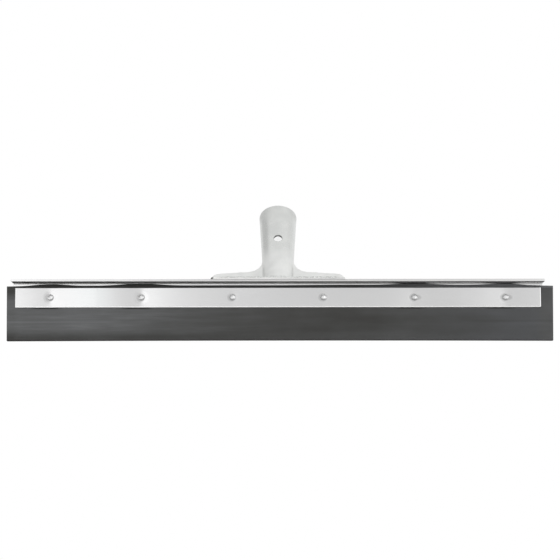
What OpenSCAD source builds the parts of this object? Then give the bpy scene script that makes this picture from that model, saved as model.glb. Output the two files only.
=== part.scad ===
// Floor squeegee head. A rubber blade is clamped against an L-shaped steel frame by a
// riveted strip, and a tapered handle socket leans back from the frame's top flange.
// X runs along the blade, +Y is the handle's side and z = 0 is the wiping edge.

/* [Blade] */
// Length of the rubber blade
blade_l = 457.2; // [300:0.1:760]
// Height of the blade at its ends
blade_h = 45.9; // [36:0.1:70]
// Thickness of the rubber
blade_t = 5; // [4:0.1:8]
// How far the blade sits off centre in the frame
blade_shift = 1.6; // [-4:0.1:4]
// Rise of the blade's top edge from its ends to its middle
blade_crown = 1; // [0:0.1:1.4]
// Blade left bare past each end of the frame
blade_overhang = 6.2; // [4.5:0.1:20]

/* [Frame] */
// Thickness of the bent sheet
sheet_t = 1.9; // [1.2:0.1:3]
// Depth of the flange, from the plate's back face to the front edge
flange_w = 19.1; // [16:0.1:30]
// Inside radius of the bend
bend_r = 0.5; // [0.3:0.1:0.9]
// Room between the ends of the blade's top edge and the flange
top_room = 2.6; // [2.2:0.1:6]
// Gap left above the rubber where a pinch squeezes it upwards
bulge_gap = 0.1; // [0.05:0.05:0.3]

/* [Clamp strip] */
// Height of the strip
strip_h = 16.3; // [10:0.1:24]
// Thickness of the strip
strip_t = 1.2; // [0.8:0.1:2]
// Rubber showing above the strip at the ends of the blade
strip_drop = 1.7; // [0.5:0.1:6]
// How much shorter the strip is than the frame at each end
strip_inset = 2.2; // [0:0.1:10]
// Depth to which a tight rivet pulls the strip into the rubber
pinch_depth = 0.8; // [0.1:0.05:1.2]
// Share of that depth at the slacker rivets in the middle
slack_share = 0.15; // [0.05:0.05:1]
// Straight stretch of strip between two pinches
pinch_gap = 8; // [2:0.5:30]

/* [Blade rivets] */
// Number of rivets in the row
rivet_n = 6; // [2:1:10]
// Distance of the first rivet from the end of the strip
rivet_inset = 29.7; // [10:0.5:50]
// Diameter of the shank
rivet_d = 3.2; // [2.4:0.1:4]
// Diameter of the round head
head_d = 5.4; // [4.6:0.1:8]
// Height of the round head
head_h = 1.5; // [0.8:0.1:2.2]
// Diameter of the tail rolled over behind the plate
clinch_d = 4.8; // [4.4:0.1:7]
// Height of the rolled tail
clinch_h = 0.9; // [0.5:0.1:1.5]
// Diameter of the bore in the tubular tail
tail_bore_d = 2; // [1:0.1:2.2]
// Depth of the bore in the tubular tail
tail_bore_l = 3; // [1:0.1:4]
// Radial play of a shank in its holes, for both kinds of rivet
rivet_play = 0.1; // [0.05:0.05:0.3]

/* [Handle socket] */
// Lean of the tube away from vertical
tube_lean = 36; // [25:0.5:42]
// Length of the tube along its axis, from the flange to the mouth
tube_l = 75.2; // [60:0.5:110]
// Diameter of the bore at its mouth
mouth_d = 26; // [22:0.1:32]
// Straight stretch of the bore below its mouth
land_l = 6; // [4:0.5:15]
// Angle of the tube's taper to its axis
taper = 2.8; // [1:0.1:4]
// Wall of the tube at its mouth
tube_wall = 3; // [2.5:0.1:4.5]
// Height of the bore's floor above the flange, along the axis
bore_floor = 10; // [9:0.5:25]
// Diameter of the hole for the handle's retaining screw
screw_d = 7; // [4:0.1:9]
// Distance of the screw hole from the mouth, along the axis
screw_drop = 37.4; // [15:0.1:45]
// Length of the foot along the flange
foot_l = 112.5; // [90:0.1:160]
// Thickness of the foot
foot_t = 2; // [1.5:0.1:4]
// How far the foot's front edge sits behind the flange's front edge
foot_inset = 1.5; // [0:0.1:4]
// How far the foot reaches past the back of the frame
foot_overhang = 4; // [0:0.1:8]
// Radius of the foot's corners
foot_r = 3; // [1:0.1:6]
// Distance from the foot's front edge to the tube's axis, on the flange
tube_set = 15.6; // [13:0.1:20]
// Thickness of the webs beside the tube
web_t = 6; // [3:0.1:9]
// Height of a web at its outer end, along the lean
web_end_h = 6.8; // [6.6:0.1:14]
// Height of a web at the foot of its fillet, along the lean
web_root_h = 8.8; // [7:0.1:20]
// Radius of a web's outer corner
web_end_r = 6.6; // [2:0.1:6.8]
// Radius of the fillet between a web and the tube
web_fillet_r = 12.8; // [4:0.1:18]

/* [Socket rivets] */
// Diameter of the shank
pin_d = 4; // [3:0.1:5]
// Diameter of the low head
pin_head_d = 7; // [5.5:0.1:9]
// Height of the low head
pin_head_h = 0.8; // [0.5:0.1:1.5]
// Diameter of the countersunk tail, flush under the flange
pin_tail_d = 6; // [5.2:0.1:7]
// Depth of the countersunk tail
pin_tail_h = 1; // [0.5:0.1:1.1]
// Distance of the outer rivets from the ends of the foot
pin_inset = 10.2; // [6:0.1:20]
// Distance between the two rivets of one wing
pin_pitch = 19; // [10:0.5:25]
// Distance of the rivets from the foot's front edge
pin_set = 6.6; // [5:0.1:8]

/* [Hidden] */
$fn = 64;
// Extra length that takes a cut clear past a face
cut_pad = 1;
// Straight pieces in each flank of a pinch, in the blade's top edge and in a rounded corner
flank_steps = 8;
crest_steps = 120;
corner_steps = 8;

frame_l = blade_l - 2 * blade_overhang;
strip_l = frame_l - 2 * strip_inset;
plate_y = blade_t / 2;
back_y = plate_y + sheet_t;
flange_y = back_y - flange_w;
flange_z = blade_h + top_room;
foot_z = flange_z + sheet_t;
strip_z = blade_h - strip_drop - strip_h;
bulge_z = flange_z - bend_r - bulge_gap;

rivet_z = strip_z + strip_h / 2;
rivet_pitch = (strip_l - 2 * rivet_inset) / (rivet_n - 1);
rivet_hole_d = rivet_d + 2 * rivet_play;
pinch_reach = (rivet_pitch - pinch_gap) / 2;
seat_r = head_d / 2 + rivet_play;
flank_step = (pinch_reach - seat_r) / flank_steps;
flank = [for (k = [0:flank_steps]) seat_r + k * flank_step];
pinch_offsets = concat([for (k = [flank_steps:-1:0]) -flank[k]], flank);

foot_y = flange_y + foot_inset;
foot_w = back_y + foot_overhang - foot_y;
tube_y = foot_y + tube_set;
mouth_r = mouth_d / 2;
land_s = tube_l - land_l;
base_r = outer_r(0);
pin_x = foot_l / 2 - pin_inset;
pin_y = foot_y + pin_set;
pin_hole_d = pin_d + 2 * rivet_play;
pin_l = foot_t + sheet_t;

// Radius of the tube's outside at a height along its axis
function outer_r(s) = mouth_r + tube_wall - (tube_l - s) * tan(taper);

function rivet_x(i) = (i - (rivet_n - 1) / 2) * rivet_pitch;
// Grip of a rivet: full at the outer ones, a share of it at those next to the middle
function grip(i) = abs(i - (rivet_n - 1) / 2) < 1 ? slack_share : 1;
// Shape of a pinch, from 1 on the rivet's flat seat to 0 at its reach
function swell(d) = d <= seat_r ? 1
    : d >= pinch_reach ? 0
    : (1 + cos(180 * (d - seat_r) / (pinch_reach - seat_r))) / 2;
function pinch(x) = max([for (i = [0:rivet_n - 1]) grip(i) * swell(abs(x - rivet_x(i)))]);
function dent(x) = pinch_depth * pinch(x);

// Height of the blade's top edge: a slight crown, squeezed up towards the flange at each pinch
function crown_z(x) = blade_h + blade_crown * (1 - pow(2 * (x - blade_shift) / blade_l, 2));
function top_z(x) = crown_z(x) + pinch(x) * (bulge_z - crown_z(x));

function arc(cx, cy, r, from, to) = [
    for (k = [0:corner_steps])
        let (a = from + (to - from) * k / corner_steps)
            [cx + r * cos(a), cy + r * sin(a)]
];

// Flat outline of a domed head standing on y = 0, as half of its section
module dome(d, h) {
    ball_r = (pow(d / 2, 2) + h * h) / (2 * h);
    intersection() {
        translate([0, h - ball_r]) circle(ball_r);
        square([d / 2, h]);
    }
}

module at_rivets() {
    for (i = [0:rivet_n - 1]) translate([rivet_x(i), 0, rivet_z]) children();
}

module rivet_bores(from_y, to_y) {
    at_rivets() translate([0, to_y + cut_pad, 0]) rotate([90, 0, 0])
        cylinder(d = rivet_hole_d, h = to_y - from_y + 2 * cut_pad);
}

// Places of the four rivets in the foot, at the flange's top face
module at_pins() {
    for (side = [-1, 1], k = [0, 1])
        translate([side * (pin_x - k * pin_pitch), pin_y, foot_z]) children();
}

// Frame of the leaning tube: its own Z runs up the axis from the flange's top face
module on_tube() {
    translate([0, tube_y, foot_z]) rotate([-tube_lean, 0, 0]) children();
}

module blade_outline() {
    start = blade_shift - blade_l / 2;
    polygon(concat(
        [[start, 0], [start + blade_l, 0]],
        [for (k = [crest_steps:-1:0])
            let (x = start + blade_l * k / crest_steps) [x, top_z(x)]]
    ));
}

// Hollow that the pinched strip presses into the front of the rubber at one rivet
module dent_outline(i) {
    middle = rivet_x(i);
    polygon(concat(
        [for (o = pinch_offsets) [middle + o, dent(middle + o) - blade_t / 2]],
        [for (side = [1, -1]) [middle + side * pinch_reach, -blade_t / 2 - cut_pad]]
    ));
}

module strip_outline() {
    inner = [
        for (i = [0:rivet_n - 1], o = pinch_offsets)
            let (x = rivet_x(i) + o) if (abs(x) < strip_l / 2) x
    ];
    xs = concat([-strip_l / 2], inner, [strip_l / 2]);
    polygon(concat(
        [for (x = xs) [x, dent(x) - blade_t / 2 - strip_t]],
        [for (k = [len(xs) - 1:-1:0]) [xs[k], dent(xs[k]) - blade_t / 2]]
    ));
}

module blade() {
    color("#3c3d3f") difference() {
        rotate([90, 0, 0]) linear_extrude(blade_t, center = true) blade_outline();
        for (i = [0:rivet_n - 1])
            translate([0, 0, strip_z]) linear_extrude(strip_h) dent_outline(i);
        rivet_bores(-blade_t / 2, blade_t / 2);
    }
}

module clamp_strip() {
    color("#c9cbcc") difference() {
        translate([0, 0, strip_z]) linear_extrude(strip_h) strip_outline();
        rivet_bores(-blade_t / 2 - strip_t, pinch_depth - blade_t / 2);
    }
}

// Section of the bent sheet: plate, flange and the round bend between them
module frame_section() {
    bend_out = bend_r + sheet_t;
    bend_y = back_y - bend_out;
    bend_z = foot_z - bend_out;
    translate([plate_y, strip_z]) square([sheet_t, bend_z - strip_z]);
    translate([flange_y, flange_z]) square([bend_y - flange_y, sheet_t]);
    translate([bend_y, bend_z]) intersection() {
        difference() {
            circle(bend_out);
            circle(bend_r);
        }
        square(bend_out);
    }
}

module frame() {
    color("#d3d5d5") difference() {
        rotate([90, 0, 90]) linear_extrude(frame_l, center = true) frame_section();
        rivet_bores(plate_y, back_y);
        at_pins() translate([0, 0, -sheet_t - cut_pad])
            cylinder(d = pin_hole_d, h = sheet_t + 2 * cut_pad);
        at_pins() translate([0, 0, -sheet_t])
            cylinder(d1 = pin_tail_d + 2 * rivet_play, d2 = pin_hole_d, h = pin_tail_h);
    }
}

module blade_rivet(hold) {
    rotate_extrude() difference() {
        union() {
            dome(head_d, head_h);
            translate([0, -hold]) square([rivet_d / 2, hold]);
            translate([0, -hold]) mirror([0, 1]) dome(clinch_d, clinch_h);
        }
        translate([0, -hold - clinch_h - cut_pad]) square([tail_bore_d / 2, tail_bore_l + cut_pad]);
    }
}

module blade_rivets() {
    color("#b9bbbd") for (i = [0:rivet_n - 1]) {
        seat_y = dent(rivet_x(i)) - blade_t / 2 - strip_t;
        translate([rivet_x(i), seat_y, rivet_z]) rotate([90, 0, 0]) blade_rivet(back_y - seat_y);
    }
}

module foot_outline() {
    inner_w = foot_w - 2 * foot_r;
    inner_l = foot_l - 2 * foot_r;
    translate([-foot_l / 2, foot_y + foot_r]) square([foot_l, inner_w]);
    translate([-inner_l / 2, foot_y]) square([inner_l, foot_w]);
    for (x = [-inner_l / 2, inner_l / 2], y = [foot_y + foot_r, foot_y + foot_w - foot_r])
        translate([x, y]) circle(foot_r);
}

// One web, in the plane of the lean: rounded outer corner, sloping top, fillet up the tube
module web_outline() {
    fillet_s = web_root_h + web_fillet_r;
    fillet_x = outer_r(fillet_s) + web_fillet_r;
    root_s = -web_t * tan(tube_lean);
    polygon(concat(
        [[0, root_s], [foot_l / 2, root_s]],
        arc(foot_l / 2 - web_end_r, web_end_h - web_end_r, web_end_r, 0, 90),
        arc(fillet_x, fillet_s, web_fillet_r, 270, 180),
        [[0, fillet_s]]
    ));
}

module socket_body() {
    root_s = -2 * base_r * tan(tube_lean);
    translate([0, 0, foot_z]) linear_extrude(foot_t) foot_outline();
    intersection() {
        on_tube() {
            translate([0, 0, root_s])
                cylinder(r1 = outer_r(root_s), r2 = outer_r(tube_l), h = tube_l - root_s);
            for (side = [0, 1]) mirror([side, 0, 0])
                rotate([90, 0, 0]) linear_extrude(web_t, center = true) web_outline();
        }
        translate([-foot_l, tube_y - 2 * tube_l, foot_z]) cube([2 * foot_l, 4 * tube_l, 2 * tube_l]);
    }
}

// Half of the bore's section: a straight mouth, then a taper down to a flat floor
module bore_outline() {
    floor_r = mouth_r - (land_s - bore_floor) * tan(taper);
    polygon([
        [0, bore_floor],
        [floor_r, bore_floor],
        [mouth_r, land_s],
        [mouth_r, tube_l + cut_pad],
        [0, tube_l + cut_pad]
    ]);
}

module handle_socket() {
    color("#cfd1cf") difference() {
        socket_body();
        on_tube() rotate_extrude() bore_outline();
        on_tube() translate([0, 0, tube_l - screw_drop]) rotate([90, 0, 0])
            cylinder(d = screw_d, h = 2 * mouth_d);
        at_pins() translate([0, 0, -cut_pad]) cylinder(d = pin_hole_d, h = foot_t + 2 * cut_pad);
    }
}

module socket_rivets() {
    color("#b9bbbd") at_pins() translate([0, 0, foot_t]) rotate_extrude() {
        dome(pin_head_d, pin_head_h);
        translate([0, -pin_l]) square([pin_d / 2, pin_l]);
        polygon([
            [0, -pin_l],
            [pin_tail_d / 2, -pin_l],
            [pin_d / 2, pin_tail_h - pin_l],
            [0, pin_tail_h - pin_l]
        ]);
    }
}

blade();
clamp_strip();
frame();
blade_rivets();
handle_socket();
socket_rivets();
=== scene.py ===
import math

import bmesh
import bpy
from mathutils import Matrix, Vector


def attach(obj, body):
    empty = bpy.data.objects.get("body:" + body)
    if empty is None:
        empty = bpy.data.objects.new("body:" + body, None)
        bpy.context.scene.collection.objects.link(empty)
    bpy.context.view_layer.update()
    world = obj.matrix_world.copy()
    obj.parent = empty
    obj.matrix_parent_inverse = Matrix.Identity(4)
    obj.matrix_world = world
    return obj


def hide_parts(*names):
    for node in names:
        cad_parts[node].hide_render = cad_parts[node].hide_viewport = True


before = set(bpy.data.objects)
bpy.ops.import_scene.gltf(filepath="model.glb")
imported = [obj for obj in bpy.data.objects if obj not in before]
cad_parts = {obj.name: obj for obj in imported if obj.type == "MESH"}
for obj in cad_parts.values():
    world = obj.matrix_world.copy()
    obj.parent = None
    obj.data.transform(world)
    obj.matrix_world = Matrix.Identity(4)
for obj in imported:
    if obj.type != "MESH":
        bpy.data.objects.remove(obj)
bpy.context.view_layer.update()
mm = 0.001
hair = 0.01                               # places closer than this, in millimetres, count as one
print("frame loaded:", ", ".join(sorted(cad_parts)))


# shader maths as plain expressions

class Wire:
    def __init__(self, tree, socket):
        self.tree, self.socket = tree, socket

    def make(self, kind, settings=None, values=None, output=0):
        node = self.tree.nodes.new("ShaderNode" + kind)
        for key, value in (settings or {}).items():
            if key == "stops":
                fillRamp(node.color_ramp, value)
            else:
                setattr(node, key, value)
        for key, value in (values or {}).items():
            if isinstance(value, Wire):
                self.tree.links.new(value.socket, node.inputs[key])
            else:
                node.inputs[key].default_value = value
        return Wire(self.tree, node.outputs[output])

    def calc(self, operation, first, second):
        return self.make("Math", {"operation": operation}, {0: first, 1: second})

    def __add__(self, other):
        return self.calc("ADD", self, other)

    def __radd__(self, other):
        return self.calc("ADD", other, self)

    def __sub__(self, other):
        return self.calc("SUBTRACT", self, other)

    def __rsub__(self, other):
        return self.calc("SUBTRACT", other, self)

    def __mul__(self, other):
        return self.calc("MULTIPLY", self, other)

    def __rmul__(self, other):
        return self.calc("MULTIPLY", other, self)

    def __truediv__(self, other):
        return self.calc("DIVIDE", self, other)

    def __rtruediv__(self, other):
        return self.calc("DIVIDE", other, self)

    def __mod__(self, other):
        return self.calc("FLOORED_MODULO", self, other)

    def __rmod__(self, other):
        return self.calc("FLOORED_MODULO", other, self)

    def __abs__(self):
        return self.make("Math", {"operation": "ABSOLUTE"}, {0: self})


def fillRamp(ramp, stops):
    while len(ramp.elements) < len(stops):
        ramp.elements.new(1)
    for element, (place, level) in zip(ramp.elements, stops):
        element.position = place
        element.color = (level, level, level, 1)


def step(wire, low, high):                # 0 below low, 1 above high, smooth between
    return wire.make("MapRange", {"interpolation_type": "SMOOTHSTEP"},
                     {"Value": wire, "From Min": low, "From Max": high})


def rise(wire, span):                     # the same over a span in millimetres
    return step(wire, span[0] * mm, span[1] * mm)


def fall(wire, span):
    return 1 - rise(wire, span)


def window(wire, start, end):
    return rise(wire, start) * fall(wire, end)


def blendColour(fac, first, second):
    return fac.make("Mix", {"data_type": "RGBA"}, {"Factor": fac, 6: first, 7: second}, 2)


def startMaterial(name, constants):
    material = bpy.data.materials.new(name)
    material.use_nodes = True
    tree = material.node_tree
    shader = tree.nodes["Principled BSDF"]
    for key, value in constants.items():
        shader.inputs[key].default_value = value
    place = Wire(tree, tree.nodes.new("ShaderNodeTexCoord").outputs["Object"])
    return material, shader, place


def plug(shader, key, wire):
    wire.tree.links.new(wire.socket, shader.inputs[key])


def noise(place, scale, detail=3, rough=0.5):
    stretched = place.make("Mapping", {}, {"Vector": place, "Scale": scale})
    values = {"Vector": stretched, "Scale": 1, "Detail": detail, "Roughness": rough}
    return place.make("TexNoise", {}, values)


def bump(height, strength, distance):
    return height.make("Bump", {}, {"Height": height, "Strength": strength, "Distance": distance})


def axisOf(place, letter):
    return place.make("SeparateXYZ", {}, {0: place}, letter)


def lengthOf(vector):
    return vector.make("VectorMath", {"operation": "LENGTH"}, {0: vector}, "Value")


def fromPoint(place, point):              # distance to a point, given in millimetres
    centre = [value * mm for value in point]
    return lengthOf(place.make("VectorMath", {"operation": "SUBTRACT"}, {0: place, 1: centre}))


def markOf(place, mark):                  # a paler or darker patch between the places that the mark names
    share = mark["much"]
    for letter in "XYZ":
        start, end = mark.get(letter, (None, None))
        if start:
            share = rise(axisOf(place, letter), start) * share
        if end:
            share = fall(axisOf(place, letter), end) * share
    return share


row = {"count": 6, "pitch": 76.2, "height": 36.3}
rivets = [(k - (row["count"] - 1) / 2) * row["pitch"] for k in range(row["count"])]


def fromRivet(place, aside):              # distance to the nearest rivet, moved right and up and drawn wide
    right, up, wide = aside
    pitch = row["pitch"] * mm
    across = (axisOf(place, "X") - right * mm) % pitch - pitch / 2
    above = axisOf(place, "Z") - (row["height"] + up) * mm
    return lengthOf(place.make("CombineXYZ", {}, {"X": across / wide, "Z": above}))


# finishes: marks and spans start and end softly, at places in millimetres

rubberFinish = {"dark": (0.0240, 0.0237, 0.0212, 1), "bloomAndSheen": (0.174, 0.179, 0.185, 1),
                "bluish": (0.164, 0.172, 0.188, 1), "creaseShade": (0.006, 0.006, 0.006, 1),
                "rough": 0.48, "topRough": 0.4, "sawn": (45.2, 46),
                "left": (-190, 40), "dustAndSheenUp": [(2.5, 10.5), (33, 43)],
                "wipingEdge": (2, 11), "rightTip": (205, 222),
                "creaseUp": [(26.2, 27.2), (28, 28.5)], "creaseAside": (-4, 0, 1), "creaseNear": (10.5, 18),
                "creaseOut": (70, 90),
                "blue": {"X": [(80, 200), (214, 224)], "Z": [None, (30, 44)], "much": 1},
                "rubMark": {"X": [None, (-180, -130)], "Z": [(14.7, 15.5), (16, 16.8)], "much": 0.32},
                "lightAndShadePatches": [{"X": [(70, 220), None], "much": 0.18},
                          {"X": [(200, 230), None], "much": 0.08},
                          {"X": [(50, 150), None], "Z": [(44, 44.6), None], "much": 0.4},
                          {"X": [None, (-224, -215)], "much": -0.09},
                          {"X": [(62, 78), (190, 222)], "Z": [(18.5, 24.5), None], "much": 0.11},
                          {"X": [(140, 200), None], "Z": [(14.6, 16.2), (16.6, 18.2)], "much": -0.08}]}


def makeRubber():
    material, shader, place = startMaterial("blackRubber", {"IOR": 1.5})
    look = rubberFinish
    streaks = noise(place, (13, 20, 190), 5, 0.65)          # drawn out along the blade
    clouds = noise(place, (16, 16, 40))
    grain = noise(place, (2600, 2600, 2600), 2)
    across, up = axisOf(place, "X"), axisOf(place, "Z")
    left = fall(across, look["left"])
    dustAndSheen = left * window(up, *look["dustAndSheenUp"])             # the left end is paler: bloom and painted sheen
    scuffAndFloorLight = fall(up, look["wipingEdge"]) * (1 - left * 0.8 - rise(across, look["rightTip"]))
    mask = step(streaks, 0.4, 0.8) * (0.06 + dustAndSheen * 0.26) + step(clouds, 0.35, 0.8) * 0.15
    mask = mask + dustAndSheen * 0.38 + scuffAndFloorLight * 0.12             # the wiping edge is a little paler: rubbed, with painted floor light
    # painted light and shade in patches: paler at the right end, in the flange's shadow at the top right and
    # below the strip at the right; painted shade at the left end; and a faint dark band at the right
    mask = mask + sum(markOf(place, mark) for mark in look["lightAndShadePatches"])
    mask = mask + markOf(place, look["rubMark"]) * streaks  # one long rub mark
    # painted shade in the crease just below the strip's lower edge, near the outer rivets
    creaseShade = window(up, *look["creaseUp"]) * rise(abs(across), look["creaseOut"])
    creaseShade = creaseShade * fall(fromRivet(place, look["creaseAside"]), look["creaseNear"])
    bloomAndSheen = blendColour(markOf(place, look["blue"]), look["bloomAndSheen"], look["bluish"])
    skin = blendColour(mask, look["dark"], bloomAndSheen)
    plug(shader, "Base Color", blendColour(creaseShade, skin, look["creaseShade"]))
    sawn = rise(up, look["sawn"]) * look["topRough"]        # the sawn top is dull
    plug(shader, "Roughness", look["rough"] + (clouds - 0.5) * 0.12 + mask * 0.06 + sawn)
    plug(shader, "Normal", bump(grain * 0.6 + streaks * 0.4, 0.12, 0.0002))
    return material


stripFinish = {"light": (0.86, 0.86, 0.86, 1), "dull": (0.80, 0.80, 0.805, 1), "edge": (1, 1, 1, 1),
               "paintedSheen": (0.885, 0.9, 0.903, 1), "shadeAndDirt": (0.42, 0.425, 0.42, 1), "rough": 0.17,
               "ringAside": (-0.9, -0.1, 1), "ringNear": (2.4, 4.2), "edgeHighlightUp": (28.5, 29),
               "wideHaloAside": (0.8, -0.1, 1.9), "wideHaloNear": (1.8, 3.1), "wideHaloFrom": (70, 90),
               "patch": {"X": [(-184, -156), (-150, -131)], "much": 1}}


def makeStripZinc():
    material, shader, place = startMaterial("satinZinc", {"Metallic": 1})
    look = stripFinish
    rolled = noise(place, (9, 300, 2600), 3, 0.6)           # fine lines left by the rolls
    clouds = noise(place, (22, 22, 60))
    mask = step(clouds, 0.3, 0.8) * 0.6 + rolled * 0.25
    # painted shade of the dish round each rivet, a dark ring left of its head
    ring = fall(fromRivet(place, look["ringAside"]), look["ringNear"]) * (0.15 + clouds * 0.5)
    wideHalo = fall(fromRivet(place, look["wideHaloAside"]), look["wideHaloNear"])
    wideHalo = wideHalo * rise(axisOf(place, "X"), look["wideHaloFrom"])
    ring = ring + wideHalo * (1 - ring) * 0.45                 # the right rivets sit in wider dark halos
    sheen = blendColour(mask, look["light"], look["dull"])
    paintedSheen = markOf(place, look["patch"])                   # painted sheen: a brighter patch between the left rivets
    sheen = blendColour(paintedSheen, sheen, look["paintedSheen"])
    edgeHighlight = fall(axisOf(place, "Z"), look["edgeHighlightUp"])         # painted highlight along the lower edge
    sheen = blendColour(edgeHighlight, sheen, look["edge"])
    plug(shader, "Base Color", blendColour(ring, sheen, look["shadeAndDirt"]))
    plug(shader, "Roughness", look["rough"] + (rolled - 0.5) * 0.05 + (clouds - 0.5) * 0.04)
    plug(shader, "Normal", bump(rolled, 0.03, 0.00005))
    return material


frameFinish = {"light": (0.84, 0.84, 0.84, 1), "dull": (0.76, 0.765, 0.765, 1),
               "shadeAndDirt": (0.45, 0.45, 0.44, 1), "nose": (0.91, 0.91, 0.905, 1),
               "under": (0.105, 0.105, 0.103, 1), "underRight": (0.11, 0.11, 0.108, 1),
               "slot": (1, 1, 0.99, 1), "shut": (0.12, 0.12, 0.12, 1),
               "rough": 0.11, "underRough": 0.5, "slotRough": 0.4, "underUp": [(48.2, 48.4), (48.51, 48.57)],
               "underBack": (1.8, 2.2), "underRightFrom": (-200, 200),
               "shutAside": (-3, 0, 1), "shutNear": (15.5, 22), "shutFrom": (70, 90),
               "slotBack": (-3.8, -2.6), "slotStart": -200, "slotLean": 0.004,
               "footShadeUp": (49.2, 49.8), "footShadeOut": (55.5, 57.5),
               "noseHighlight": {"X": [(-140, 50), None], "Y": [None, (-14.6, -14.1)], "Z": [None, (49.9, 50.2)],
                            "much": 1}}


def makeFrameZinc():
    material, shader, place = startMaterial("galvanisedSheet", {"Metallic": 1})
    look = frameFinish
    spangle = place.make("TexVoronoi", {"feature": "F1"}, {"Vector": place, "Scale": 95}, "Color")
    shade = place.make("SeparateColor", {}, {0: spangle}, "Red")
    clouds = noise(place, (30, 30, 30), 4)
    fine = noise(place, (700, 700, 700), 2)
    mask = shade * 0.35 + step(clouds, 0.3, 0.75) * 0.45
    across, back, up = (axisOf(place, letter) for letter in "XYZ")
    share = across / (sheet["length"] * mm) + 0.5           # 0 at the left end, 1 at the right
    start = sheet["front"] + sheet["thick"] - sheet["reach"] + sheet["edge"]
    slope = (sheet["drop"] + sheet["rise"]) / (sheet["front"] - sheet["nipIn"] - start)
    level = up + share * (sheet["drop"] * mm - (back - start * mm) * slope)     # as if the flange were true
    under = window(level, *look["underUp"]) * fall(back, look["underBack"])
    shut = fall(fromRivet(place, look["shutAside"]), look["shutNear"])
    shut = shut * rise(across, look["shutFrom"])            # painted shade where rubber fills the room at the right rivets
    inward = back + (across - look["slotStart"] * mm) * look["slotLean"]
    slot = rise(inward, look["slotBack"]) * (1 - shut * 0.7)        # painted light on the rear of the underside, over the room behind the rubber
    footShade = rise(up, look["footShadeUp"]) * fall(abs(across), look["footShadeOut"]) * (0.3 + clouds * 0.4)
    sheen = blendColour(mask, look["light"], look["dull"])
    nose = markOf(place, look["noseHighlight"])                  # painted highlight: the front edge is brighter to the right
    sheen = blendColour(nose, sheen, look["nose"])
    sheen = blendColour(footShade, sheen, look["shadeAndDirt"])         # painted shade along the foot of the socket
    dull = blendColour(rise(across, look["underRightFrom"]), look["under"], look["underRight"])
    dull = blendColour(shut * 0.8, dull, look["shut"])
    dull = blendColour(slot, dull, look["slot"])
    plug(shader, "Base Color", blendColour(under, sheen, dull))     # painted shade under the flange, painted light at its back
    spread = look["rough"] + under * (look["underRough"] + slot * look["slotRough"])
    plug(shader, "Roughness", spread + (shade - 0.5) * 0.04 + (clouds - 0.5) * 0.04)
    plug(shader, "Normal", bump(fine, 0.03, 0.00005))
    return material


castFinish = {"light": (0.71, 0.72, 0.705, 1), "dull": (0.63, 0.64, 0.63, 1), "low": (0.86, 0.865, 0.855, 1),
              "shadeAndDirt": (0.25, 0.25, 0.24, 1), "footHighlight": (0.97, 0.97, 0.96, 1),
              "rough": 0.27, "lowRough": 0.4, "mouthRough": 0.25,
              "lowUp": (64, 82), "lowWander": 10, "mouthUp": (103, 112),
              "leftEndSpotAt": (-56.4, -12, 51.8), "leftEndSpotNear": (1.8, 3.4),
              "footHighlightAt": (-52.5, -13, 51), "footHighlightNear": (1, 6.5),
              "holeAt": (0, 14.5, 88.4), "holeNear": (3.7, 4.1),
              "creaseOut": [(10.8, 12), (12.4, 13.8)],
              "creaseMark": {"Y": [None, (6, 12)], "Z": [(52.5, 54.5), (60, 69)], "much": 1},
              "lipHighlight": {"X": [None, (-10, 30)], "Z": [None, (51.2, 51.8)], "much": 0.85},
              "webOut": (12.5, 14.5), "webEnd": (47.5, 52.5), "webLift": 0.6,
              "specklesFrom": (51.5, 52), "specklesTo": (53.5, 54.3)}


def makeCastMetal():
    material, shader, place = startMaterial("tumbledCasting", {"Metallic": 1})
    look = castFinish
    mottle = noise(place, (120, 120, 120), 2)
    wide = noise(place, (35, 35, 35))
    grain = noise(place, (1500, 1500, 1500), 3, 0.6)
    mask = step(mottle, 0.3, 0.75) * 0.45 + step(wide, 0.3, 0.7) * 0.4
    sides, up = abs(axisOf(place, "X")), axisOf(place, "Z")
    wander = (wide - 0.5) * (look["lowWander"] * mm)
    low = fall(up + wander, look["lowUp"])                  # painted light: brighter towards the foot, where light bounces off the flange
    # a dark spot at the foot's left end
    leftEndSpot = fall(fromPoint(place, look["leftEndSpotAt"]), look["leftEndSpotNear"])
    footHighlight = fall(fromPoint(place, look["footHighlightAt"]), look["footHighlightNear"])      # painted highlight on the foot's left corner and along its lower lip
    footHighlight = footHighlight + markOf(place, look["lipHighlight"]) * (1 - footHighlight)
    # painted shade in the creases where the tube meets the webs
    creaseShade = window(sides, *look["creaseOut"]) * markOf(place, look["creaseMark"]) * (0.1 + mottle * 0.2)
    web = rise(sides, look["webOut"]) * (1 - rise(sides, look["webEnd"]) * 1.4)
    speckles = step(noise(place, (900, 900, 900), 2), 0.42, 0.56) * (0.28 + web * 0.3)
    speckles = speckles * rise(up, look["specklesFrom"])                # a speckled dark line above the foot's lower edge
    speckles = speckles * fall(up - web * (look["webLift"] * mm), look["specklesTo"])
    hole = fall(fromPoint(place, look["holeAt"]), look["holeNear"])         # painted shade on the screw hole's wall
    shadeAndSpots = leftEndSpot + (creaseShade + speckles + hole * 0.5) * (1 - leftEndSpot)
    skin = blendColour(mask, look["light"], look["dull"])
    skin = blendColour(low * (1 - mask * 0.4), skin, look["low"])
    skin = blendColour(footHighlight, skin, look["footHighlight"])
    plug(shader, "Base Color", blendColour(shadeAndSpots, skin, look["shadeAndDirt"]))
    spread = look["rough"] + low * look["lowRough"] + rise(up, look["mouthUp"]) * look["mouthRough"]
    plug(shader, "Roughness", spread + (mottle - 0.5) * 0.08)
    plug(shader, "Normal", bump(grain * 0.15 + mottle * 0.5, 0.08, 0.0002))
    return material


boreFinish = {"light": (0.97, 0.97, 0.97, 1), "dull": (0.91, 0.91, 0.91, 1), "rough": 0.25}


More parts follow.
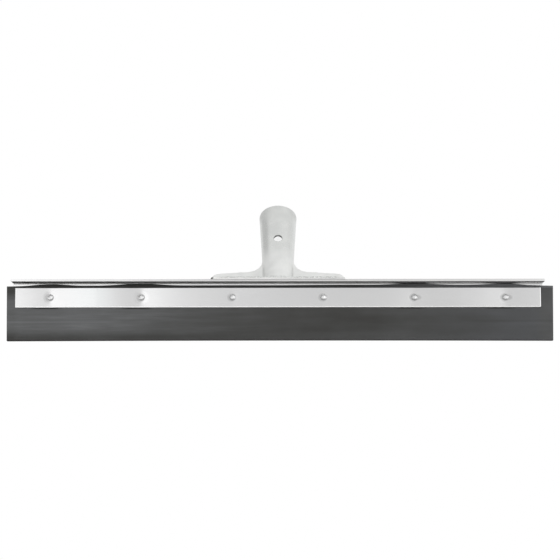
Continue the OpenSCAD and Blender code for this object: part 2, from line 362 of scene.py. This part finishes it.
def makeBoreMetal():
    material, shader, place = startMaterial("reamedBore", {"Metallic": 1})
    rings = noise(place, (40, 500, 700))
    plug(shader, "Base Color", blendColour(rings, boreFinish["light"], boreFinish["dull"]))
    plug(shader, "Roughness", boreFinish["rough"] + (rings - 0.5) * 0.1)
    return material


rivetFinish = {"light": (0.96, 0.96, 0.96, 1), "dull": (0.85, 0.855, 0.86, 1), "shadeAndDirt": (0.3, 0.3, 0.3, 1),
               "rough": 0.38, "lowUp": (42, 44), "left": (-80, -60), "chalkUp": (37, 38.2),
               "leftAside": (-0.5, 1, 1.15), "leftRim": (2, 2.8),
               "rightAside": (0.7, 1.2, 1.45), "rightRim": (2, 3)}


def makeRivetZinc():
    material, shader, place = startMaterial("brightZinc", {"Metallic": 1})
    look = rivetFinish
    mottle = noise(place, (420, 420, 420), 4, 0.6)
    fine = noise(place, (2500, 2500, 2500), 2)
    mask = step(mottle, 0.35, 0.75)
    low = fall(axisOf(place, "Z"), look["lowUp"])           # only the blade's rivets
    left = fall(axisOf(place, "X"), look["left"])
    # dark rims painted on the blade rivets: painted reflection of the flange's dark underside and painted
    # shade under the heads
    leftRim = rise(fromRivet(place, look["leftAside"]), look["leftRim"])
    rightRim = rise(fromRivet(place, look["rightAside"]), look["rightRim"])
    rim = (leftRim * left + rightRim * (1 - left)) * low * 0.8
    sheen = blendColour(mask, look["light"], look["dull"])
    plug(shader, "Base Color", blendColour(rim, sheen, look["shadeAndDirt"]))
    chalky = rise(axisOf(place, "Z"), look["chalkUp"]) * low
    plug(shader, "Metallic", 1 - chalky * 0.6)              # a trace of white rust along the upper rims
    plug(shader, "Roughness", look["rough"] + mask * 0.12)
    plug(shader, "Normal", bump(fine, 0.08, 0.0001))
    return material


# shared by every piece

def finishPiece(name, bm, materials, node, sharp=35):
    for face in bm.faces:
        face.smooth = True
    for edge in sharpEdges(bm, sharp):
        edge.smooth = False
    mesh = bpy.data.meshes.new(name)
    bm.to_mesh(mesh)
    print(name, "faces", len(bm.faces), "volume", round(bm.calc_volume(signed=True) * 1e9), "mm3")
    bm.free()
    piece = bpy.data.objects.new(name, mesh)
    bpy.context.scene.collection.objects.link(piece)
    for material in materials:
        mesh.materials.append(material)
    even = piece.modifiers.new("evenNormals", "WEIGHTED_NORMAL")    # keeps flat faces flat up to their edges
    even.keep_sharp = True
    even.weight = 100
    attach(piece, "root")
    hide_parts(node)


def sharpEdges(bm, angle):
    return [e for e in bm.edges if len(e.link_faces) == 2 and e.calc_face_angle(0) > math.radians(angle)]


def roundEdges(bm, edges, offset, segments):
    bmesh.ops.bevel(bm, geom=edges, offset=offset * mm, offset_type="OFFSET", segments=segments,
                    profile=0.5, affect="EDGES", material=-1)


def extrudeBy(bm, faces, vec):
    grown = bmesh.ops.extrude_face_region(bm, geom=faces)
    bmesh.ops.translate(bm, vec=vec, verts=[v for v in grown["geom"] if isinstance(v, bmesh.types.BMVert)])


def cutAt(bm, point, normal, clear=False):
    return bmesh.ops.bisect_plane(bm, geom=bm.verts[:] + bm.edges[:] + bm.faces[:], plane_co=point,
                                  plane_no=normal, clear_outer=clear)


def sheetOf(bm, length, height, thick, cells, rows):
    # an upright slab facing -Y, its lower edge on z = 0
    bmesh.ops.create_grid(bm, x_segments=cells, y_segments=rows, size=0.5,
                          matrix=Matrix.Rotation(math.pi / 2, 4, "X"))
    spread = Matrix.Translation((0, 0, height / 2)) @ Matrix.Diagonal((length, 1, height, 1))
    bmesh.ops.transform(bm, verts=bm.verts, matrix=spread)
    extrudeBy(bm, bm.faces[:], (0, thick, 0))
    bmesh.ops.recalc_face_normals(bm, faces=bm.faces)


def clamp(value):
    return min(max(value, 0), 1)


def fade(value, low, high):               # 1 up to low, 0 from high on
    return 0.5 + 0.5 * math.cos(math.pi * clamp((value - low) / (high - low)))


# how far the rivets pull the strip into the rubber

press = {"depth": 0.7, "reach": 17, "power": 1.3, "blunt": 3, "grips": [1, 1, 0.15, 0.15, 1, 1],
         "seat": 2.8, "swellReach": 38, "rise": [0.8, 0.95, 0.3, 0.3, 1, 0.97],
         "swellLeft": [2.3, 1, 4, 4, 1, 1.35], "swellRight": [2, 1.25, 4, 4, 1, 3],
         "dents": [0.16, 0.16, 0.02, 0.02, 0.04, 0.06], "dentInner": 2.5, "dentOuter": 6}


def gripAt(x):
    shares = []
    for rivet, grip in zip(rivets, press["grips"]):
        away = math.hypot(x - rivet, press["blunt"]) / press["reach"]
        shares.append(grip * math.exp(-away ** press["power"]))
    return max(shares)


def swellAt(x):                           # how far the squeezed rubber fills the room under the flange
    shares = []
    for k, rivet in enumerate(rivets):
        power = press["swellLeft" if x < rivet else "swellRight"][k]
        near = fade(abs(x - rivet), press["seat"], press["swellReach"])
        shares.append(press["grips"][k] * press["rise"][k] * near ** power)
    return max(shares)


def dishAt(x, z):
    shares = []
    for rivet, dent in zip(rivets, press["dents"]):
        away = math.hypot(x - rivet, z - row["height"])
        shares.append(dent * fade(away, press["dentInner"], press["dentOuter"]))
    return max(shares)


def pressAt(x, z):
    return press["depth"] * gripAt(x) + dishAt(x, z)


# rubber blade

blade = {"length": 457.2, "height": 45.9, "thick": 5, "shift": 1.6, "cells": 305, "rows": 76, "edge": 0.3,
         "crown": 0.75, "lift": 0.36, "liftAt": 0.55, "liftFade": (0.25, 0.6), "topSlope": 0.5,
         "topUnderFlange": 47.9, "lowBow": 0.45, "flare": 0.55, "flareFrom": 0.3, "sink": 0.02, "blend": 0.6,
         "bulge": 0.45, "bulgeBelow": 5, "bulgeAbove": 2,
         "groove": 0.5, "grooveDown": 0.5, "grooveWide": 0.45}


def bladeTop(x):
    off = 2 * (x - blade["shift"]) / blade["length"]
    lift = blade["lift"] * fade(abs(off - blade["liftAt"]), *blade["liftFade"])
    crown = blade["height"] + blade["crown"] * (1 - off ** 4) + lift
    return crown + swellAt(x) * (blade["topUnderFlange"] - crown)


def makeBlade():
    bm = bmesh.new()
    sheetOf(bm, blade["length"], 1, blade["thick"], blade["cells"], blade["rows"])
    half = blade["thick"] / 2
    stripLow, stripHigh = strip["low"], strip["low"] + strip["height"]
    for v in bm.verts:
        x, up = v.co.x + blade["shift"], v.co.z
        front = v.co.y < half
        off = 2 * (x - blade["shift"]) / blade["length"]
        low = blade["lowBow"] * (1 - off * off)
        top = bladeTop(x) + (0 if front else blade["topSlope"] * (1 - swellAt(x)))
        z = low + up * (top - low)
        y = -half if front else half
        if front:                         # pressed in behind the strip, swollen and pinched along its edges
            grip = gripAt(x)
            inside = clamp((z - stripLow) / blade["blend"]) * clamp((stripHigh - z) / blade["blend"])
            below = math.exp((z - stripLow) / blade["bulgeBelow"]) if z < stripLow else 0
            above = math.exp((stripHigh - z) / blade["bulgeAbove"]) if z > stripHigh else 0
            pinch = math.exp(-((stripLow - blade["grooveDown"] - z) / blade["grooveWide"]) ** 2)
            y += (pressAt(x, z) + blade["sink"]) * inside - blade["bulge"] * grip * (below + above * 0.5)
            y += blade["groove"] * grip * pinch * (1 - inside)
        x += blade["flare"] * off * (up - blade["flareFrom"])
        v.co = Vector((x, y, z)) * mm
    roundEdges(bm, sharpEdges(bm, 50), blade["edge"], 2)
    finishPiece("rubberBlade", bm, [rubber], "blade")


# clamp strip

strip = {"length": 440.4, "height": 16.5, "thick": 1.2, "low": 27.9, "cells": 440, "rows": 16, "edge": 0.42,
         "crisp": 0.5, "soft": 2}


def stripFace(x, z):
    return pressAt(x, z) - blade["thick"] / 2 - strip["thick"]


def makeStrip():
    bm = bmesh.new()
    sheetOf(bm, strip["length"], strip["height"], strip["thick"], strip["cells"], strip["rows"])
    for v in bm.verts:
        x, z = v.co.x, v.co.z + strip["low"]
        v.co = Vector((x, v.co.y + stripFace(x, z), z)) * mm
    roundEdges(bm, sharpEdges(bm, 50), strip["edge"], 4)
    low, top = strip["low"], strip["low"] + strip["height"]
    end, near = strip["length"] / 2, strip["edge"] + hair
    for v in bm.verts:                    # the upper front edge is crisper, the lower and right ones softer
        x, y, z = v.co / mm
        face = stripFace(x, z)
        if top - z < near and y - face < near:
            v.co.y = (face + (y - face) * strip["crisp"]) * mm
            v.co.z = (top - (top - z) * strip["crisp"]) * mm
        if z - low < near and y - face < near:
            v.co.z = (low + (z - low) * strip["soft"]) * mm
        if end - x < near and y - face < near:
            v.co.x = (end - (end - x) * strip["soft"]) * mm
    finishPiece("clampStrip", bm, [stripZinc], "clamp_strip")


# bent sheet frame, its plate level with the strip's lower edge

sheet = {"length": 444.8, "thick": 1.9, "front": 2.5, "reach": 19.1, "top": 50.4, "bend": 0.5, "edge": 0.25,
         "nipHigh": 1.9, "nipIn": 0.22, "drop": 0.25, "rise": 0.2, "cells": 48}


def makeFrame():
    bm = bmesh.new()
    front, top, low = sheet["front"], sheet["top"], strip["low"]
    back, under = front + sheet["thick"], top - sheet["thick"]
    nose, corner = back - sheet["reach"], front - sheet["nipIn"]
    outline = [(front, low), (back, low), (back, top), (nose, top), (nose, under), (corner, under),
               (front, under - sheet["nipHigh"])]
    start = -sheet["length"] / 2
    face = bm.faces.new([bm.verts.new((start * mm, y * mm, z * mm)) for y, z in outline])
    extrudeBy(bm, [face], (sheet["length"] * mm, 0, 0))
    bmesh.ops.recalc_face_normals(bm, faces=bm.faces)

    def along(y, z):
        return [e for e in bm.edges
                if all(math.hypot(v.co.y - y * mm, v.co.z - z * mm) < hair * mm for v in e.verts)]

    roundEdges(bm, along(back, top), sheet["bend"] + sheet["thick"], 10)
    roundEdges(bm, along(corner, under), sheet["bend"] / 2, 4)
    roundEdges(bm, sharpEdges(bm, 60), sheet["edge"], 2)
    for k in range(1, sheet["cells"]):
        cutAt(bm, ((k / sheet["cells"] - 0.5) * sheet["length"] * mm, 0, 0), (1, 0, 0))
    for v in bm.verts:                    # towards the right the flange is pressed a little out of true
        x, y, z = v.co / mm
        share = x / sheet["length"] + 0.5
        if y < nose + 1 and z < under + 0.5:
            v.co.z -= sheet["drop"] * share * mm
        elif y < front and under - 0.6 < z < under + 0.1:
            v.co.z += sheet["rise"] * share * mm
    finishPiece("bentFrame", bm, [frameZinc], "frame")


# rivets, spun from half of their section

bladeRivet = {"head": 5.4, "headHigh": 1.1, "shank": 3.2, "clinch": 4.8, "clinchHigh": 0.9, "tailBore": 2,
              "tailLip": 0.1, "tailRim": 0.8, "tailDeep": 3, "steps": 40}
socketRivet = {"head": 7, "headHigh": 0.8, "shank": 4, "tail": 6, "tailHigh": 1, "steps": 40,
               "across": [-46.05, -27.05, 27.05, 46.05], "back": -6.6}


def domePoints(radius, high, count):      # from the rim up to the crown
    ball = (radius * radius + high * high) / (2 * high)
    spread = math.asin(min(radius / ball, 1))
    angles = [spread * (1 - k / count) for k in range(count + 1)]
    return [(ball * math.sin(angle), high - ball + ball * math.cos(angle)) for angle in angles]


def spinPoints(bm, points, centre, axis, steps):
    verts = [bm.verts.new(point) for point in points]
    edges = [bm.edges.new(pair) for pair in zip(verts, verts[1:])]
    bmesh.ops.spin(bm, geom=verts + edges, cent=centre, axis=axis, angle=math.tau, steps=steps,
                   use_merge=True)


def addRivet(whole, section, steps, matrix):
    bm = bmesh.new()
    spinPoints(bm, [(r * mm, 0, h * mm) for r, h in section], (0, 0, 0), (0, 0, 1), steps)
    bmesh.ops.remove_doubles(bm, verts=bm.verts, dist=1e-6)
    bmesh.ops.transform(bm, verts=bm.verts, matrix=matrix)
    bmesh.ops.recalc_face_normals(bm, faces=bm.faces)
    part = bpy.data.meshes.new("part")
    bm.to_mesh(part)
    bm.free()
    whole.from_mesh(part)
    bpy.data.meshes.remove(part)


def makeBladeRivets():
    whole = bmesh.new()
    shank, bore = bladeRivet["shank"] / 2, bladeRivet["tailBore"] / 2
    high = bladeRivet["clinchHigh"]
    dome = domePoints(bladeRivet["head"] / 2, bladeRivet["headHigh"], 10)
    clinch = domePoints(bladeRivet["clinch"] / 2, high, 8)
    for x in rivets:
        seat = stripFace(x, row["height"])
        hold = sheet["front"] + sheet["thick"] - seat
        tail = [(r, -hold - h) for r, h in clinch if r > bore + bladeRivet["tailLip"]]
        end = bladeRivet["tailDeep"] - high - hold
        section = dome[::-1] + [(shank, 0), (shank, -hold)] + tail
        section += [(bore, -hold - high * bladeRivet["tailRim"]), (bore, end), (0, end)]
        place = Matrix.Translation(Vector((x, seat, row["height"])) * mm)
        addRivet(whole, section, bladeRivet["steps"], place @ Matrix.Rotation(math.pi / 2, 4, "X"))
    finishPiece("bladeRivets", whole, [rivetZinc], "blade_rivets")


def makeSocketRivets():
    whole = bmesh.new()
    top, hold = sheet["top"] + socket["footThick"], sheet["thick"] + socket["footThick"]
    shank, tail = socketRivet["shank"] / 2, socketRivet["tail"] / 2
    dome = domePoints(socketRivet["head"] / 2, socketRivet["headHigh"], 8)
    section = dome[::-1] + [(shank, 0), (shank, socketRivet["tailHigh"] - hold), (tail, -hold), (0, -hold)]
    for x in socketRivet["across"]:
        place = Matrix.Translation(Vector((x, socketRivet["back"], top)) * mm)
        addRivet(whole, section, socketRivet["steps"], place)
    finishPiece("socketRivets", whole, [rivetZinc], "socket_rivets")


# cast handle socket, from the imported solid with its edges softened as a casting's are

socket = {"lean": 36, "back": 2.4, "footThick": 2, "mouth": 26, "wall": 3, "length": 75.2, "floor": 10,
          "land": 6, "taper": 2.8, "voxel": 0.6, "rounds": 7, "spare": 2.4, "joint": 46, "overlap": 0.7,
          "weld": 0.15, "rim": 0.5, "steps": 144, "boreSkin": 0.25, "boreStart": 0.5, "boreEnd": 0.4}
tubeLean = math.radians(socket["lean"])
tubeAxis = Vector((0, math.sin(tubeLean), math.cos(tubeLean)))
tubeRoot = Vector((0, socket["back"], sheet["top"]))


def boreAt(up):
    straight = socket["length"] - socket["land"]
    return socket["mouth"] / 2 - max(0, straight - up) * math.tan(math.radians(socket["taper"]))


def outsideAt(up):
    narrower = (socket["length"] - up) * math.tan(math.radians(socket["taper"]))
    return socket["mouth"] / 2 + socket["wall"] - narrower


def onTube(spot):                         # height along the tube and distance from its axis
    away = spot / mm - tubeRoot
    up = away.dot(tubeAxis)
    return up, (away - tubeAxis * up).length


def remeshed(bm):                         # the same solid in small even faces
    rough = bpy.data.meshes.new("roughSocket")
    bm.to_mesh(rough)
    bm.free()
    holder = bpy.data.objects.new("roughSocket", rough)
    bpy.context.scene.collection.objects.link(holder)
    remesh = holder.modifiers.new("remesh", "REMESH")
    remesh.mode = "VOXEL"
    remesh.voxel_size = socket["voxel"] * mm
    bpy.context.view_layer.update()
    result = holder.evaluated_get(bpy.context.evaluated_depsgraph_get())
    even = bmesh.new()
    even.from_mesh(result.to_mesh())
    result.to_mesh_clear()
    bpy.data.objects.remove(holder)
    bpy.data.meshes.remove(rough)
    return even


def softSocket():
    bm = bmesh.new()
    bm.from_mesh(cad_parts["handle_socket"].data)
    bmesh.ops.remove_doubles(bm, verts=bm.verts, dist=1e-6)
    sole = sheet["top"] * mm
    below = [f for f in bm.faces if f.calc_center_median().z < sole + hair * mm]
    extrudeBy(bm, below, (0, 0, -socket["spare"] * mm))
    doubled = [f for f in bm.faces if abs(f.calc_center_median().z - sole) < hair * mm]
    bmesh.ops.delete(bm, geom=doubled, context="FACES")
    bm = remeshed(bm)
    for turn in range(socket["rounds"]):
        bmesh.ops.smooth_vert(bm, verts=bm.verts, factor=0.5, use_axis_x=True, use_axis_y=True,
                              use_axis_z=True)
    # smoothed with room to spare below, then cut off flat where it stands on the flange
    cut = cutAt(bm, (0, 0, sole), (0, 0, -1), True)
    bmesh.ops.holes_fill(bm, edges=[e for e in cut["geom_cut"] if isinstance(e, bmesh.types.BMEdge)])
    return bm


def renewMouth(bm):
    # the tube is cut below its mouth and spun anew from there, which keeps the mouth crisp
    cutAt(bm, (tubeRoot + tubeAxis * socket["joint"]) * mm, tubeAxis, True)
    bmesh.ops.remove_doubles(bm, verts=[v for v in bm.verts if v.is_boundary], dist=socket["weld"] * mm)
    start, length = socket["joint"] + socket["overlap"], socket["length"]
    mouth = socket["mouth"] / 2
    section = [(outsideAt(start), start), (outsideAt(length), length), (mouth, length),
               (mouth, length - socket["land"]), (boreAt(start), start)]
    points = [(tubeRoot + tubeAxis * up + Vector((wide, 0, 0))) * mm for wide, up in section]
    spinPoints(bm, points, tubeRoot * mm, tubeAxis, socket["steps"])
    rings = [e for e in bm.edges if e.is_boundary]
    middle = (outsideAt(start) + boreAt(start)) / 2
    outer = [e for e in rings if onTube(e.verts[0].co)[1] > middle]
    inner = [e for e in rings if onTube(e.verts[0].co)[1] < middle]
    bmesh.ops.bridge_loops(bm, edges=outer)
    bmesh.ops.bridge_loops(bm, edges=inner)
    bmesh.ops.recalc_face_normals(bm, faces=bm.faces)


def makeSocket():
    bm = softSocket()
    renewMouth(bm)
    length = socket["length"]
    rim = [e for e in bm.edges if all(onTube(v.co)[0] > length - hair for v in e.verts)
           and abs(onTube(e.verts[0].co)[1] - onTube(e.verts[1].co)[1]) < hair]
    roundEdges(bm, rim, socket["rim"], 3)
    for face in bm.faces:
        up, wide = onTube(face.calc_center_median())
        within = socket["floor"] - socket["boreStart"] < up < length - socket["boreEnd"]
        face.material_index = 1 if within and wide < boreAt(up) + socket["boreSkin"] else 0
    finishPiece("castSocket", bm, [castMetal, boreMetal], "handle_socket", 60)


rubber, stripZinc, frameZinc = makeRubber(), makeStripZinc(), makeFrameZinc()
castMetal, boreMetal, rivetZinc = makeCastMetal(), makeBoreMetal(), makeRivetZinc()
print("finishes made")

makeBlade()
makeStrip()
makeFrame()
makeBladeRivets()
makeSocketRivets()
makeSocket()
print("pieces made")


# studio

floorSet = {"size": 8000, "height": -0.4, "colour": (0.88, 0.88, 0.88, 1), "rough": 0.9, "fade": (350, 1100)}


def makeFloor():
    bm = bmesh.new()
    bmesh.ops.create_grid(bm, x_segments=1, y_segments=1, size=floorSet["size"] / 2 * mm,
                          matrix=Matrix.Translation((0, 0, floorSet["height"] * mm)))
    mesh = bpy.data.meshes.new("floor")
    bm.to_mesh(mesh)
    bm.free()
    floor = bpy.data.objects.new("floor", mesh)
    bpy.context.scene.collection.objects.link(floor)
    constants = {"Roughness": floorSet["rough"], "Base Color": floorSet["colour"]}
    material, shader, place = startMaterial("paleFloor", constants)
    back = place.make("NewGeometry", {}, {}, "Backfacing")  # the photo looks up from under the floor's level
    far = rise(fromPoint(place, (0, 0, 0)), floorSet["fade"])
    gone = back + (1 - back) * far                          # and further out it melts into the white
    clear = place.make("BsdfTransparent")
    solid = Wire(place.tree, shader.outputs[0])
    mixed = place.make("MixShader", {}, {0: gone, 1: solid, 2: clear})
    plug(place.tree.nodes["Material Output"], "Surface", mixed)
    mesh.materials.append(material)


# front: what metal sees behind the camera, as bearings in degrees and brightness
worldSet = {"fill": 0.5, "brightest": 1.6, "frontBack": (0.15, 0.4), "frontUp": (0.35, 0.6),
            "front": [(-80, 0.7), (-60, 0.4), (-30, 0.4), (-18, 1.15), (-8, 1.21), (-1, 0.65), (4, 0.67),
                      (8, 0.8), (11, 0.98), (15, 0.85), (20, 0.8), (27, 1.55), (45, 1.5), (60, 1)],
            "gaps": [{"aim": (-0.714, 0.47, 0.52), "inner": 0.975, "outer": 0.89, "deep": 0.32},
                     {"aim": (0.72, 0.40, 0.56), "inner": 0.99, "outer": 0.93, "deep": 0.07},
                     {"aim": (-0.4, -0.05, 0.91), "inner": 0.95, "outer": 0.7, "deep": 0.03},
                     {"aim": (-0.32, 0.93, 0.18), "inner": 0.985, "outer": 0.9, "deep": 0.1}]}


def makeWorld():
    world = bpy.data.worlds.new("studio")
    bpy.context.scene.world = world
    world.use_nodes = True
    tree = world.node_tree
    sky = Wire(tree, tree.nodes.new("ShaderNodeTexCoord").outputs["Generated"])
    x, y, z = (axisOf(sky, letter) for letter in "XYZ")
    camera, glossy, through = (sky.make("LightPath", {}, {}, "Is " + ray + " Ray")
                               for ray in ("Camera", "Glossy", "Transmission"))
    brightest = worldSet["brightest"]
    stops = [(0.5 + 0.5 * math.sin(math.radians(bearing)), level / brightest)
             for bearing, level in worldSet["front"]]
    front = x.make("ValToRGB", {"stops": stops}, {"Fac": x * 0.5 + 0.5}) * brightest
    ahead = step(0 - y, *worldSet["frontBack"]) * (1 - step(z, *worldSet["frontUp"]))
    room = front * ahead + (1 - ahead)
    for spot in worldSet["gaps"]:                           # dark gaps between the soft boxes
        toward = x * spot["aim"][0] + y * spot["aim"][1] + z * spot["aim"][2]
        room = room - step(toward, spot["outer"], spot["inner"]) * spot["deep"]
    shown = camera + through - camera * through             # the eye sees plain white
    light = glossy * room + (1 - glossy) * worldSet["fill"]
    background = tree.nodes["Background"]
    background.inputs["Color"].default_value = (1, 1, 1, 1)
    plug(background, "Strength", shown + (1 - shown) * light)


lampAim = (0, 0, 0.05)
lamps = {"leftBox": {"place": (-0.5, -0.42, 0.5), "size": (0.4, 0.4), "power": 2.4},
         "rightBox": {"place": (0.75, -0.5, 0.6), "size": (0.4, 0.4), "power": 1.8},
         "overhead": {"place": (0, -0.1, 1.9), "size": (1.8, 1.2), "power": 9}}


def makeLamps():
    for name, setting in lamps.items():
        lamp = bpy.data.lights.new(name, "AREA")
        lamp.shape = "RECTANGLE"
        lamp.size, lamp.size_y = setting["size"]
        lamp.energy = setting["power"]
        holder = bpy.data.objects.new(name, lamp)
        holder.visible_glossy = False                       # metal shows the room instead
        holder.visible_camera = False
        holder.location = setting["place"]
        aim = Vector(lampAim) - holder.location
        holder.rotation_euler = aim.to_track_quat("-Z", "Y").to_euler()
        bpy.context.scene.collection.objects.link(holder)


cameraSet = {"target": (1.675, 0, 51.386), "tilt": -7.5243, "away": 1712.06, "roll": -0.0638,
             "focal": 2038.23, "pixels": 560, "sensor": 36, "sight": 50}


def makeCamera():
    lens = bpy.data.cameras.new("camera")
    lens.sensor_fit = "HORIZONTAL"
    lens.sensor_width = cameraSet["sensor"]
    lens.lens = cameraSet["sensor"] * cameraSet["focal"] / cameraSet["pixels"]
    lens.clip_end = cameraSet["sight"]
    holder = bpy.data.objects.new("camera", lens)
    tilt = math.radians(cameraSet["tilt"])
    toCamera = Vector((0, -math.cos(tilt), math.sin(tilt))) * cameraSet["away"]
    holder.location = (Vector(cameraSet["target"]) + toCamera) * mm
    roll = Matrix.Rotation(math.radians(cameraSet["roll"]), 4, "Z")
    holder.rotation_euler = (Matrix.Rotation(math.pi / 2 - tilt, 4, "X") @ roll).to_euler()
    bpy.context.scene.collection.objects.link(holder)
    bpy.context.scene.camera = holder


makeFloor()
makeWorld()
makeLamps()
makeCamera()
bpy.context.scene.view_settings.view_transform = "Standard"
print("studio made")
